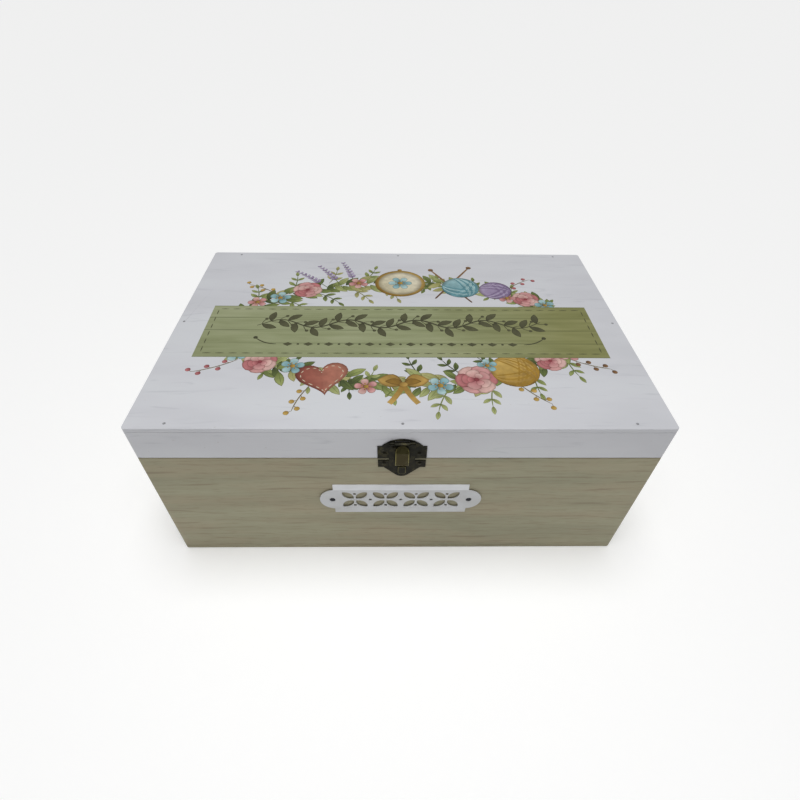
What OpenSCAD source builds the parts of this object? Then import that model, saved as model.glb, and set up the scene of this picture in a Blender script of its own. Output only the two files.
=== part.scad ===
// Wooden sewing box with one hinged lid, a bronze catch, a pierced front plate and a sliding inner tray.
// Frame: +X right, +Y towards the hinges, +Z up; the origin is the centre of the underside.

/* [Box] */
// Outside width, along X
box_w = 300; // [240:1:400]
// Outside depth, along Y, over the boards
box_d = 200; // [160:1:280]
// Outside height with the lid shut
box_h = 122; // [112:1:180]
// Height of the lid, rails and top panel together
lid_h = 24; // [22:1:34]
// Thickness of the base boards and lid rails
wall_t = 8; // [7:0.5:10]
// Thickness of the lid's top panel
top_t = 3; // [2:0.5:5]
// Thickness of the base's floor panel
floor_t = 3; // [2:0.5:5]
// Open seam between the lid's rails and the base's boards
seam_gap = 0.4; // [0.3:0.1:0.8]
// Radius of the box's upright corners
corner_r = 2; // [1:0.5:4]

/* [Panel nails] */
// Shank radius of the nails that hold the two panels
nail_r = 0.5; // [0.4:0.1:0.7]
// Head radius of those nails
nail_head_r = 0.8; // [0.8:0.1:1.2]
// Length of those nails
nail_len = 14; // [8:1:16]
// Thickness of the nail heads
nail_head_t = 0.5; // [0.4:0.1:0.8]
// How deep the nail heads are set below the panel's face
nail_set = 0.3; // [0.1:0.1:0.5]
// Distance from the box's ends to the outer nails
nail_end = 22; // [12:1:40]
// Radial clearance of every nail, brad and pin in its hole
hole_play = 0.05; // [0.03:0.01:0.08]

/* [Running clearances] */
// Air between a turning piece and whatever it turns past
turn_gap = 0.3; // [0.2:0.05:0.4]
// Side air between neighbouring knuckles of one hinge
knuckle_gap = 0.2; // [0.1:0.05:0.3]

/* [Hinges] */
// Distance from the box's ends to the middle of each hinge
hinge_end = 60; // [35:1:80]
// Width of one hinge, along X
hinge_w = 26; // [20:1:36]
// Height of one leaf, from the hinge's axis to its free edge
leaf_h = 15; // [13:1:18]
// Thickness of the leaf metal
leaf_t = 0.9; // [0.6:0.1:1.2]
// Outer radius of the hinge knuckles
knuckle_r = 2; // [1.8:0.1:2.6]
// Radius of the hinge pin
hinge_pin_r = 0.9; // [0.6:0.1:1]
// Share of the hinge's width taken by the lid leaf's middle knuckle
middle_share = 0.46; // [0.3:0.02:0.6]
// Angle at which the two stop lips meet
stop_angle = 106; // [95:1:120]
// Reach of the stop lips from the hinge axis
stop_reach = 5; // [4.6:0.1:6]

/* [Brads] */
// Shank radius of the round-headed brads
brad_r = 0.6; // [0.4:0.1:0.8]
// Radius of their domed heads
brad_head_r = 1.25; // [1:0.05:1.4]
// Height of their domed heads
brad_head_h = 0.6; // [0.4:0.1:0.9]
// Depth that the brads reach into the wood
brad_depth = 5.5; // [4:0.5:6.5]
// Extra depth of the brads' holes past their ends
brad_hole_end = 0.3; // [0.1:0.1:0.4]

/* [Catch] */
// Thickness of the catch's stamped plates
catch_t = 0.6; // [0.5:0.1:0.9]
// Width of the lid plate across its ears
lid_plate_w = 27.8; // [26:0.2:32]
// Height of the lid plate's ears above the seam
lid_ear_h = 10.5; // [9:0.1:12]
// Height of the lid plate's crown above the seam
lid_crown_h = 16.3; // [16:0.1:18]
// Width of the ears' flat tops
ear_flat = 2.2; // [1.5:0.1:3]
// Width of the base plate across its ears
base_plate_w = 27.4; // [26:0.2:32]
// Depth of the base plate's ears below the seam
base_ear_h = 7.2; // [7:0.1:9]
// Depth of the base plate's point below the seam
base_point_h = 15.6; // [15:0.1:18]
// Height of the hasp's pin above the seam
hasp_pin_h = 13.7; // [13.4:0.1:13.9]
// Outer radius of the hasp's knuckles
hasp_knuckle_r = 1.1; // [1:0.1:1.2]
// Radius of the hasp's pin
hasp_pin_r = 0.5; // [0.4:0.05:0.55]
// Width of the hasp
hasp_w = 14.8; // [13.6:0.2:15.2]
// Thickness of the hasp's metal
hasp_t = 0.7; // [0.5:0.1:0.9]
// Depth of the hasp's lower edge below the seam
hasp_drop = 9.6; // [9:0.1:10.4]
// Width of the hasp's raised thumb piece
thumb_w = 7.6; // [6.6:0.2:7.8]
// Height of the thumb piece's upper end above the seam
thumb_rise = 12.6; // [11.6:0.1:12.8]
// Length of the slope at its upper end
thumb_slope = 4; // [3:0.1:6]
// Depth of the thumb piece's lower end below the seam
thumb_drop = 1.8; // [1:0.1:2.2]
// How far the thumb piece stands proud of the front board
thumb_proud = 4.3; // [3.6:0.1:5]
// Width of the raised tab that the hasp's slot goes over
tab_w = 4.6; // [4:0.1:5]
// Depth of the tab's upper end below the seam
tab_drop = 5; // [4.8:0.1:5.4]
// Length of the tab, down the base plate
tab_l = 6.2; // [5:0.1:6.8]
// Height of the tab from the base plate
tab_h = 1.7; // [1.4:0.1:2.2]
// Room round the tab in the hasp's slot
slot_play = 0.4; // [0.3:0.05:0.5]

/* [Front plate] */
// Width of the plate over its two ears
plaque_w = 100.4; // [92:0.2:120]
// Width of the plate between its ears
plaque_mid_w = 83; // [77:0.5:88]
// Height of the plate's flat face
plaque_face_h = 19.5; // [18.8:0.1:23]
// Height of each border, which bends back to the wood
plaque_border_h = 4.4; // [3:0.1:6]
// Radius of the plate's round ears
plaque_ear_r = 9.3; // [8:0.1:9.3]
// Thickness of the plate's metal
plaque_t = 0.6; // [0.5:0.1:0.8]
// How far the face stands proud of the front board
plaque_proud = 1.1; // [1:0.1:1.4]
// Depth of the plate's middle below the seam
plaque_drop = 38.8; // [36:0.1:46]
// Radius of the heads of the plate's two nails
plaque_head_r = 1.8; // [1.4:0.1:2.2]
// Distance between neighbouring pierced flowers
flower_pitch = 19; // [18.5:0.1:19.4]
// Length of one pierced petal
petal_l = 9.6; // [8:0.1:10]
// Width of one pierced petal
petal_w = 5.4; // [4:0.1:5.8]

/* [Tray] */
// Thickness of the tray's boards
tray_t = 5; // [4:0.5:6]
// Width of the sliding tray, along X
tray_w = 150; // [110:1:180]
// Height of the tray with its floor
tray_h = 36; // [28:1:40]
// Thickness of the tray's floor
tray_floor_t = 3; // [2:0.5:4]
// Thickness of the tray's two dividers
divider_t = 4; // [3:0.5:5]
// How far the dividers' tops lie below the tray's rim
divider_low = 3; // [1:0.5:8]
// Distance of the long divider from the tray's middle, towards the front
divider_offset = 30; // [20:1:50]
// Room between the tray and the base's boards, at each side
tray_play = 0.5; // [0.4:0.1:1]
// Room between the tray's rim and the top of the base
tray_low = 4; // [2:0.5:8]
// Radius of the finger scoops in the tray's ends
scoop_r = 12; // [8:0.5:14]
// Side room in the half laps of the dividers
lap_play = 0.1; // [0.05:0.05:0.2]
// Height of the runners that carry the tray
runner_h = 8; // [5:0.5:12]
// Width of the runners, away from the boards
runner_w = 6; // [4:0.5:10]
// Air between the tray's floor and its runners
runner_play = 0.3; // [0.2:0.1:0.4]
// Thickness of the partition in the base
partition_t = 5; // [4:0.5:8]
// Room between the partition and the runners above it
partition_play = 3; // [1:0.5:10]

/* [Hidden] */
$fn = 64;
base_h = box_h - lid_h - seam_gap;      // top of the base's boards
rail_z = base_h + seam_gap;             // underside of the lid's rails
seam_z = base_h + seam_gap / 2;         // middle of the seam
panel_z = box_h - top_t;                // underside of the lid's top panel
inner_w = box_w - 2 * wall_t;
inner_d = box_d - 2 * wall_t;
plaque_z = seam_z - plaque_drop;            // height of the front plate's middle
hinge_x = box_w / 2 - hinge_end;        // each hinge's distance from the box's middle
weld = 0.01;                            // overlap of shapes that are united
over = 1;                               // how far a cutter runs past a face

// Hinge, as seen in the plane across its axis: y outwards from the axis, z up
hinge_y = box_d / 2 + knuckle_r + turn_gap;
leaf_back = -(knuckle_r + turn_gap);    // the leaf's wood side
leaf_face = leaf_back + leaf_t;
lip_top = -(knuckle_r + turn_gap);      // the stop lip passes under the other leaf's knuckle
middle_w = hinge_w * middle_share;
outer_w = (hinge_w - middle_w) / 2;
hinge_brad_in = 4.5;                    // from the leaf's side to its brads
hinge_brad_x = hinge_w / 2 - hinge_brad_in;
hinge_brad_low = 0.5;                   // from the middle of the leaf's flat to its brads
hinge_brad_z = (leaf_h - lip_top) / 2 + hinge_brad_low;
leaf_corner = 2;                        // rounding of the leaf's free corners
pin_end = 0.5;                          // how far the hinge pin stands out at each end

// Catch, in the plane of the front board: x across, v up from the seam, w outwards from the board
lid_brad = [9.8, 4.8];
base_brad = [10.3, -3.6];
lid_plate_gap = 0.4;                    // from the middle of the seam up to the lid plate
base_plate_gap = 1.4;                   // from the middle of the seam down to the base plate
hasp_neck = 8;                          // width of the hasp's own knuckle
plate_knuckle_w = 3;                    // width of each knuckle on the lid plate
hasp_pin_end = 0.6;                     // how much longer the pin is than its knuckles
window_w = hasp_neck + 2 * knuckle_gap; // the lid plate's window, which lets the hasp's knuckle in
hasp_pin_w = hasp_knuckle_r + turn_gap; // distance of the hasp's pin from the board
hasp_back = catch_t + turn_gap;         // the hasp's inner face
hasp_top = hasp_pin_h - hasp_knuckle_r - turn_gap;
slot_w = tab_w + 2 * slot_play;
slot_top = -(tab_drop - slot_play);
hasp_toe_w = 2;                         // width of the hasp's lower edge at each side of its slot
hasp_foot_w = slot_w + 2 * hasp_toe_w;
hasp_shoulder = 3;                      // height of its two sloping corners
point_r = 5;                            // rounding of the base plate's point
base_ear_flat = 3.1;                    // width of the base plate's ears along their lower edge
tab_corner = 0.8;                       // rounding of the tab's corners

// Front plate
plaque_nail_in = 7.8;                   // from the end of each ear to its nail
plaque_nail_x = plaque_w / 2 - plaque_nail_in;
plaque_back = plaque_proud - plaque_t;  // the face's inner side
plaque_h = plaque_face_h + 2 * plaque_border_h;
flower_count = 4;                       // pierced flowers in the plate's row
petal_gap = 1.1;                        // from a flower's middle to its petals
dot_r = 1;                              // radius of the round holes between the petals
dot_out = 5.8;                          // distance of the upper and lower dots from the flower's middle

// Tray and runners
tray_d = inner_d - 2 * tray_play;
tray_x = -inner_w / 2 + tray_play;      // left side of the tray at rest
tray_top = base_h - tray_low;
tray_z = tray_top - tray_h;
tray_board_z = tray_z + tray_floor_t;
tray_board_h = tray_h - tray_floor_t;
divider_h = tray_board_h - divider_low;
long_y = -divider_offset;               // middle of the long divider
runner_z = tray_z - runner_play - runner_h;
partition_h = runner_z - partition_play - floor_t;

board_colour = [0.62, 0.59, 0.49];
paint_colour = [0.93, 0.93, 0.94];
bronze_colour = [0.20, 0.18, 0.12];
inside_colour = [0.76, 0.66, 0.48];
steel_colour = [0.45, 0.45, 0.46];

// A rectangle centred on the origin with four round corners
module rounded_rect(w, d, r) {
    square([w - 2 * r, d], center = true);
    square([w, d - 2 * r], center = true);
    for (x = [-1, 1], y = [-1, 1]) translate([x * (w / 2 - r), y * (d / 2 - r)]) circle(r);
}

// The whole box's footprint, which rounds the upright corners of whatever it cuts
module footprint(z, h) {
    translate([0, 0, z]) linear_extrude(h) rounded_rect(box_w, box_d, corner_r);
}

// A board across the front (side = -1) or the back (side = 1), full width, with its outer corners rounded
module cross_board(side, z, h) {
    intersection() {
        translate([-box_w / 2, side > 0 ? box_d / 2 - wall_t : -box_d / 2, z]) cube([box_w, wall_t, h]);
        footprint(z, h);
    }
}

// A board at the left (side = -1) or the right (side = 1), between the cross boards
module end_board(side, z, h) {
    translate([side > 0 ? box_w / 2 - wall_t : -box_w / 2, -inner_d / 2, z]) cube([wall_t, inner_d, h]);
}

// Puts a child at each nail of a panel: three along the front and the back, one in each end
module at_panel_nails() {
    for (x = [-1, 0, 1], y = [-1, 1])
        translate([x * (box_w / 2 - nail_end), y * (box_d - wall_t) / 2, 0]) children();
    for (x = [-1, 1]) translate([x * (box_w - wall_t) / 2, 0, 0]) children();
}

// A nail that points down from z = 0, the panel's face, with its head set just below it; grow makes its hole
module nail(grow = 0) {
    translate([0, 0, -nail_set - nail_len]) cylinder(r = nail_r + grow, h = nail_len);
    translate([0, 0, -nail_set - nail_head_t - grow])
        cylinder(r = nail_head_r + grow, h = nail_head_t + grow);
}

module nail_hole() {
    nail(hole_play);
    translate([0, 0, -nail_set - weld]) cylinder(r = nail_head_r + hole_play, h = nail_set + over);
}

module lid_nail_holes() at_panel_nails() translate([0, 0, box_h]) nail_hole();
module floor_nail_holes() at_panel_nails() mirror([0, 0, 1]) nail_hole();

// A dome of base radius r and height h on z = 0
module dome(r, h) {
    ball_r = (r * r + h * h) / (2 * h);
    intersection() {
        translate([0, 0, h - ball_r]) sphere(ball_r);
        cylinder(r = r, h = h);
    }
}

// A round-headed brad along +Z: its head sits on z = 0 and its shank goes down through the metal
module brad(metal_t, head_r = brad_head_r) {
    translate([0, 0, -metal_t - brad_depth]) cylinder(r = brad_r, h = metal_t + brad_depth + weld);
    dome(head_r, brad_head_h);
}

module brad_hole() {
    translate([0, 0, -brad_depth - brad_hole_end]) cylinder(r = brad_r + hole_play, h = 2 * brad_depth);
}

// Turns a shape drawn as x, v, w (across, up, outwards) onto the front board at height z
module on_front(z) translate([0, -box_d / 2, z]) rotate([90, 0, 0]) children();

// The same on the back board, where w points to +Y
module on_back(x, z) translate([x, box_d / 2, z]) rotate([90, 0, 180]) children();

// Puts a child at each brad of a pair that lies either side of the middle
module at_pair(p) for (side = [-1, 1]) translate([side * p[0], p[1], 0]) children();

module at_hinge_brads(up) {
    for (hinge = [-1, 1])
        on_back(hinge * hinge_x, seam_z) at_pair([hinge_brad_x, up * hinge_brad_z]) children();
}

// Base

module base_front_board() {
    color(board_colour) difference() {
        cross_board(-1, floor_t, base_h - floor_t);
        floor_nail_holes();
        on_front(seam_z) at_pair(base_brad) brad_hole();
        on_front(plaque_z) at_pair([plaque_nail_x, 0]) brad_hole();
    }
}

module base_back_board() {
    color(board_colour) difference() {
        cross_board(1, floor_t, base_h - floor_t);
        floor_nail_holes();
        at_hinge_brads(-1) brad_hole();
    }
}

module base_end_board(side) {
    color(board_colour) difference() {
        end_board(side, floor_t, base_h - floor_t);
        floor_nail_holes();
    }
}

module base_floor_panel() {
    color(board_colour) difference() {
        footprint(0, floor_t);
        floor_nail_holes();
    }
}

module base_floor_nails() color(steel_colour) at_panel_nails() mirror([0, 0, 1]) nail();

module base_partition() {
    color(inside_colour) translate([-partition_t / 2, -inner_d / 2, floor_t])
        cube([partition_t, inner_d, partition_h]);
}

module tray_runner(side) {
    color(inside_colour)
        translate([-inner_w / 2, side > 0 ? inner_d / 2 - runner_w : -inner_d / 2, runner_z])
            cube([inner_w, runner_w, runner_h]);
}

// Lid

module lid_top_panel() {
    color(paint_colour) difference() {
        footprint(panel_z, top_t);
        lid_nail_holes();
    }
}

module lid_panel_nails() color(steel_colour) at_panel_nails() translate([0, 0, box_h]) nail();

module lid_front_rail() {
    color(paint_colour) difference() {
        cross_board(-1, rail_z, panel_z - rail_z);
        lid_nail_holes();
        on_front(seam_z) at_pair(lid_brad) brad_hole();
    }
}

module lid_back_rail() {
    color(paint_colour) difference() {
        cross_board(1, rail_z, panel_z - rail_z);
        lid_nail_holes();
        at_hinge_brads(1) brad_hole();
    }
}

module lid_end_rail(side) {
    color(paint_colour) difference() {
        end_board(side, rail_z, panel_z - rail_z);
        lid_nail_holes();
    }
}

// Hinges: each leaf is nailed to the back, curls into its knuckles and carries a bent stop lip

// A profile drawn in the plane across X, run along X from the middle outwards
module along_x(w) rotate([90, 0, 90]) translate([0, 0, -w / 2]) linear_extrude(w) children();

module stop_lip_profile() {
    half = (180 - stop_angle) / 2;
    out = [sin(half), -cos(half)];
    inwards = [-cos(half), -sin(half)] * leaf_t;
    root = out * (-lip_top / cos(half));
    tip = out * stop_reach;
    heel = root + inwards + out * leaf_t * (1 - sin(half)) / cos(half);
    polygon([
        [leaf_face - weld, lip_top], root, tip, tip + inwards, heel,
        [leaf_face - weld, lip_top - leaf_t]
    ]);
}

module knuckle(w) {
    along_x(w) circle(knuckle_r);
    along_x(w) translate([leaf_back, lip_top - weld]) square([leaf_t, -lip_top + weld]);
}

// The base leaf, about the hinge axis; the lid leaf is its mirror image with the other knuckles
module leaf(is_lid) {
    difference() {
        union() {
            translate([0, leaf_face, 0]) rotate([90, 0, 0]) linear_extrude(leaf_t) difference() {
                translate([0, (lip_top - leaf_h) / 2])
                    rounded_rect(hinge_w, leaf_h + lip_top, leaf_corner);
                translate([-hinge_w, lip_top]) square([2 * hinge_w, leaf_h]);
            }
            translate([0, leaf_face, 0]) rotate([90, 0, 0]) linear_extrude(leaf_t)
                translate([-hinge_w / 2, lip_top - leaf_corner]) square([hinge_w, leaf_corner]);
            along_x(hinge_w) stop_lip_profile();
            if (is_lid) {
                knuckle(middle_w - 2 * knuckle_gap);
            } else {
                for (side = [-1, 1]) translate([side * (hinge_w - outer_w) / 2, 0, 0]) knuckle(outer_w);
            }
        }
        along_x(hinge_w + 2 * over) circle(hinge_pin_r + hole_play);
        for (side = [-1, 1]) translate([side * hinge_brad_x, leaf_face + over, -hinge_brad_z])
            rotate([90, 0, 0]) cylinder(r = brad_r + hole_play, h = leaf_t + 2 * over);
    }
}

module hinge_base_leaf(side) {
    color(bronze_colour) translate([side * hinge_x, hinge_y, seam_z]) leaf(false);
}

module hinge_lid_leaf(side) {
    color(bronze_colour) translate([side * hinge_x, hinge_y, seam_z]) mirror([0, 0, 1]) leaf(true);
}

module hinge_pin(side) {
    color(bronze_colour) translate([side * hinge_x, hinge_y, seam_z])
        along_x(hinge_w + 2 * pin_end) circle(hinge_pin_r);
}

module hinge_brads(up) {
    color(bronze_colour) at_hinge_brads(up) translate([0, 0, leaf_t]) brad(leaf_t);
}

// Catch

module catch_lid_plate() {
    crown_half = lid_plate_w / 2 - ear_flat;
    crown_rise = lid_crown_h - lid_ear_h;
    crown_r = (crown_half * crown_half + crown_rise * crown_rise) / (2 * crown_rise);
    color(bronze_colour) on_front(seam_z) difference() {
        union() {
            linear_extrude(catch_t) {
                translate([-lid_plate_w / 2, lid_plate_gap])
                    square([lid_plate_w, lid_ear_h - lid_plate_gap]);
                intersection() {
                    translate([0, lid_crown_h - crown_r]) circle(crown_r);
                    translate([-crown_half, lid_ear_h - over])
                        square([2 * crown_half, crown_rise + 2 * over]);
                }
            }
            for (side = [-1, 1])
                translate([side * (window_w + plate_knuckle_w) / 2, 0, 0]) catch_knuckle(plate_knuckle_w);
        }
        translate([-window_w / 2, hasp_top, -over])
            cube([window_w, 2 * (hasp_knuckle_r + turn_gap), catch_t + 2 * over]);
        hasp_pin_hole();
        at_pair(lid_brad) brad_hole();
    }
}

// A knuckle on the catch's lid plate, joined to the plate below its pin
module catch_knuckle(w) {
    translate([-w / 2, hasp_pin_h, hasp_pin_w]) rotate([0, 90, 0]) cylinder(r = hasp_knuckle_r, h = w);
    translate([-w / 2, hasp_pin_h - hasp_knuckle_r, 0]) cube([w, 2 * hasp_knuckle_r, hasp_pin_w]);
}

module hasp_pin_hole() {
    translate([-hasp_w, hasp_pin_h, hasp_pin_w]) rotate([0, 90, 0])
        cylinder(r = hasp_pin_r + hole_play, h = 2 * hasp_w);
}

module catch_hasp_pin() {
    pin_l = window_w + 2 * plate_knuckle_w + hasp_pin_end;
    color(bronze_colour) on_front(seam_z) translate([-pin_l / 2, hasp_pin_h, hasp_pin_w])
        rotate([0, 90, 0]) cylinder(r = hasp_pin_r, h = pin_l);
}

// Where a line from p touches the circle at c, on the circle's right-hand side seen from p's left
function tangent_point(p, c, r) =
    let (turn = atan2(p[1] - c[1], p[0] - c[0]) - acos(r / norm(p - c)))
    c + r * [cos(turn), sin(turn)];

module catch_base_plate() {
    half = base_plate_w / 2;
    point = [0, -base_point_h + point_r];
    ear = [half - base_ear_flat, -base_ear_h];
    side = tangent_point(ear, point, point_r);
    color(bronze_colour) on_front(seam_z) {
        difference() {
            linear_extrude(catch_t) {
                polygon([
                    [-half, -base_plate_gap], [half, -base_plate_gap], [half, -base_ear_h], ear,
                    side, [-side[0], side[1]], [-ear[0], ear[1]], [-half, -base_ear_h]
                ]);
                translate(point) circle(point_r);
            }
            at_pair(base_brad) brad_hole();
        }
        translate([0, -tab_drop - tab_l / 2, catch_t - weld])
            linear_extrude(tab_h + weld) rounded_rect(tab_w, tab_l, tab_corner);
    }
}

// The outline of the hasp: straight sides, sloping lower corners, a slot over the base plate's tab
module hasp_outline() {
    difference() {
        polygon([
            [-hasp_w / 2, hasp_top], [hasp_w / 2, hasp_top],
            [hasp_w / 2, -hasp_drop + hasp_shoulder], [hasp_foot_w / 2, -hasp_drop],
            [-hasp_foot_w / 2, -hasp_drop], [-hasp_w / 2, -hasp_drop + hasp_shoulder]
        ]);
        translate([-slot_w / 2, -hasp_drop - over]) square([slot_w, hasp_drop + over + slot_top]);
    }
}

// The raised thumb piece: a tongue with a round upper end that slopes back to the hasp. inset shrinks it
// by the metal's thickness, for its hollow back
module thumb(inset) {
    w = thumb_w - 2 * inset;
    back = hasp_back - inset;
    face = thumb_proud - inset;
    low = -thumb_drop + inset;
    round_v = thumb_rise - thumb_w / 2;
    intersection() {
        linear_extrude(thumb_proud + over) {
            translate([-w / 2, low]) square([w, round_v - low]);
            translate([0, round_v]) circle(w / 2);
        }
        along_x(thumb_w + 2 * over) polygon([
            [low, back], [low, face], [thumb_rise - thumb_slope, face],
            [thumb_rise, back + hasp_t], [thumb_rise, back]
        ]);
    }
}

module catch_hasp() {
    color(bronze_colour) on_front(seam_z) difference() {
        union() {
            translate([0, 0, hasp_back]) linear_extrude(hasp_t) hasp_outline();
            translate([-hasp_neck / 2, hasp_top - weld, hasp_back])
                cube([hasp_neck, hasp_pin_h - hasp_top, hasp_t]);
            translate([-hasp_neck / 2, hasp_pin_h, hasp_pin_w]) rotate([0, 90, 0])
                cylinder(r = hasp_knuckle_r, h = hasp_neck);
            thumb(0);
        }
        thumb(hasp_t);
        hasp_pin_hole();
    }
}

module catch_lid_brads() {
    color(bronze_colour) on_front(seam_z) at_pair(lid_brad) translate([0, 0, catch_t]) brad(catch_t);
}

module catch_base_brads() {
    color(bronze_colour) on_front(seam_z) at_pair(base_brad) translate([0, 0, catch_t]) brad(catch_t);
}

// Front plate: a pierced sheet with two round ears, whose long borders bend back to the wood

module petal() {
    r = (petal_l * petal_l + petal_w * petal_w) / (4 * petal_w);
    translate([0, petal_gap + petal_l / 2]) intersection() {
        translate([r - petal_w / 2, 0]) circle(r);
        translate([petal_w / 2 - r, 0]) circle(r);
    }
}

module pierced_flower() {
    for (turn = [45 : 90 : 315]) rotate(turn) petal();
    for (v = [-1, 1]) translate([0, v * dot_out]) circle(dot_r);
}

module plaque_piercing() {
    for (i = [0 : flower_count - 1])
        translate([(i - (flower_count - 1) / 2) * flower_pitch, 0]) pierced_flower();
    for (i = [1 : flower_count - 1]) translate([(i - flower_count / 2) * flower_pitch, 0]) circle(dot_r);
}

// The plate's section: the flat face and its two borders, in v and w
module plaque_section() {
    fold = plaque_face_h / 2;
    edge = plaque_h / 2;
    polygon([
        [-edge, 0], [-edge, plaque_t], [-fold, plaque_proud], [fold, plaque_proud],
        [edge, plaque_t], [edge, 0], [fold, plaque_back], [-fold, plaque_back]
    ]);
}

module front_plate() {
    color(paint_colour) on_front(plaque_z) difference() {
        union() {
            along_x(plaque_mid_w) plaque_section();
            translate([0, 0, plaque_back]) linear_extrude(plaque_t) for (side = [-1, 1]) intersection() {
                translate([side * (plaque_w / 2 - plaque_ear_r), 0]) circle(plaque_ear_r);
                translate([side * plaque_w / 2, 0])
                    square([plaque_w - plaque_mid_w + 2 * weld, 2 * plaque_ear_r], center = true);
            }
        }
        translate([0, 0, -over]) linear_extrude(plaque_proud + 2 * over) {
            plaque_piercing();
            at_pair([plaque_nail_x, 0]) circle(brad_r + hole_play);
        }
    }
}

module front_plate_nails() {
    color(steel_colour) on_front(plaque_z) at_pair([plaque_nail_x, 0])
        translate([0, 0, plaque_proud]) brad(plaque_proud, plaque_head_r);
}

// Tray: a floor, four boards and two half-lapped dividers, carried on the runners at its left-hand end

module tray_cross_board(side) {
    color(inside_colour)
        translate([tray_x, side > 0 ? tray_d / 2 - tray_t : -tray_d / 2, tray_board_z])
            cube([tray_w, tray_t, tray_board_h]);
}

module tray_end_board(side) {
    color(inside_colour) difference() {
        translate([side > 0 ? tray_x + tray_w - tray_t : tray_x, -tray_d / 2 + tray_t, tray_board_z])
            cube([tray_t, tray_d - 2 * tray_t, tray_board_h]);
        translate([(side > 0 ? tray_x + tray_w - tray_t : tray_x) - over, 0, tray_top])
            rotate([0, 90, 0]) cylinder(r = scoop_r, h = tray_t + 2 * over);
    }
}

module tray_floor() {
    color(inside_colour) translate([tray_x, -tray_d / 2, tray_z]) cube([tray_w, tray_d, tray_floor_t]);
}

// The divider along X, notched from above where the other crosses it
module tray_long_divider() {
    notch_w = divider_t + 2 * lap_play;
    color(inside_colour) difference() {
        translate([tray_x + tray_t, long_y - divider_t / 2, tray_board_z])
            cube([tray_w - 2 * tray_t, divider_t, divider_h]);
        translate([tray_x + (tray_w - notch_w) / 2, long_y - divider_t, tray_board_z + divider_h / 2])
            cube([notch_w, 2 * divider_t, divider_h]);
    }
}

// The divider along Y, notched from below over the other
module tray_cross_divider() {
    notch_w = divider_t + 2 * lap_play;
    color(inside_colour) difference() {
        translate([tray_x + (tray_w - divider_t) / 2, -tray_d / 2 + tray_t, tray_board_z])
            cube([divider_t, tray_d - 2 * tray_t, divider_h]);
        translate([tray_x, long_y - notch_w / 2, tray_board_z - over])
            cube([tray_w, notch_w, divider_h / 2 + over]);
    }
}

base_front_board();
base_back_board();
base_end_board(-1);  // base_left_board
base_end_board(1);  // base_right_board
base_floor_panel();
base_floor_nails();
base_partition();
tray_runner(-1);  // tray_runner_front
tray_runner(1);  // tray_runner_back
lid_top_panel();
lid_panel_nails();
lid_front_rail();
lid_back_rail();
lid_end_rail(-1);  // lid_left_rail
lid_end_rail(1);  // lid_right_rail
hinge_base_leaf(-1);  // hinge_left_base_leaf
hinge_lid_leaf(-1);  // hinge_left_lid_leaf
hinge_pin(-1);  // hinge_left_pin
hinge_base_leaf(1);  // hinge_right_base_leaf
hinge_lid_leaf(1);  // hinge_right_lid_leaf
hinge_pin(1);  // hinge_right_pin
hinge_brads(-1);  // hinge_base_brads
hinge_brads(1);  // hinge_lid_brads
catch_lid_plate();
catch_base_plate();
catch_hasp();
catch_hasp_pin();
catch_lid_brads();
catch_base_brads();
front_plate();
front_plate_nails();
tray_cross_board(-1);  // tray_front_board
tray_cross_board(1);  // tray_back_board
tray_end_board(-1);  // tray_left_board
tray_end_board(1);  // tray_right_board
tray_floor();
tray_long_divider();
tray_cross_divider();
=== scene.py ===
# Looks of a wooden sewing box with one hinged lid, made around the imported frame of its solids.
# Frame: +X right, +Y towards the hinges, +Z up, in metres; the origin is the centre of the underside.
import itertools
import math
import random

import bmesh
import bpy
from mathutils import Matrix, Vector


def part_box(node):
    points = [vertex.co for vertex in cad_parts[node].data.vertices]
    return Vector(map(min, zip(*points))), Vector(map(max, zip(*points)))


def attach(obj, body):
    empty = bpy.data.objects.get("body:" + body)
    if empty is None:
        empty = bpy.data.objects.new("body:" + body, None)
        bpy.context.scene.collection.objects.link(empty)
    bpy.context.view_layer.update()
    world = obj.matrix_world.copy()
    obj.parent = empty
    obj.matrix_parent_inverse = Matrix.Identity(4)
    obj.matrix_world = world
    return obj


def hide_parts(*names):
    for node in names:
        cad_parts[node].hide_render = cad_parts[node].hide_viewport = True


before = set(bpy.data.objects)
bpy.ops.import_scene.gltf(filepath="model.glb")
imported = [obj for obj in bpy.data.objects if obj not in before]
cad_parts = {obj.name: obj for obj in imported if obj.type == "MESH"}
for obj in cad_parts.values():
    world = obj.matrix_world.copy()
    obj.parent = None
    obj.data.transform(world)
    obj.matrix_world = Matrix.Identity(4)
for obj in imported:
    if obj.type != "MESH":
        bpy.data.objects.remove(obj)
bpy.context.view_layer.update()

# Camera: a phone held about 30 cm from the lid's front edge and looking down at it. Its place and its
# lens follow from the perspective of the box's corners.
PHOTO_SIDE = 800
FOCAL_PIXELS = 484.9
MIDDLE_PIXEL_X = 396.4
MIDDLE_PIXEL_Y = 410.0
SENSOR_WIDTH = 36
EYE = Vector((-0.0079, -0.2779, 0.3105))
LOOKING_DOWN = math.radians(44.41)
LOOKING_RIGHT = math.radians(1.36)
LEANING = math.radians(1.04)

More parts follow.
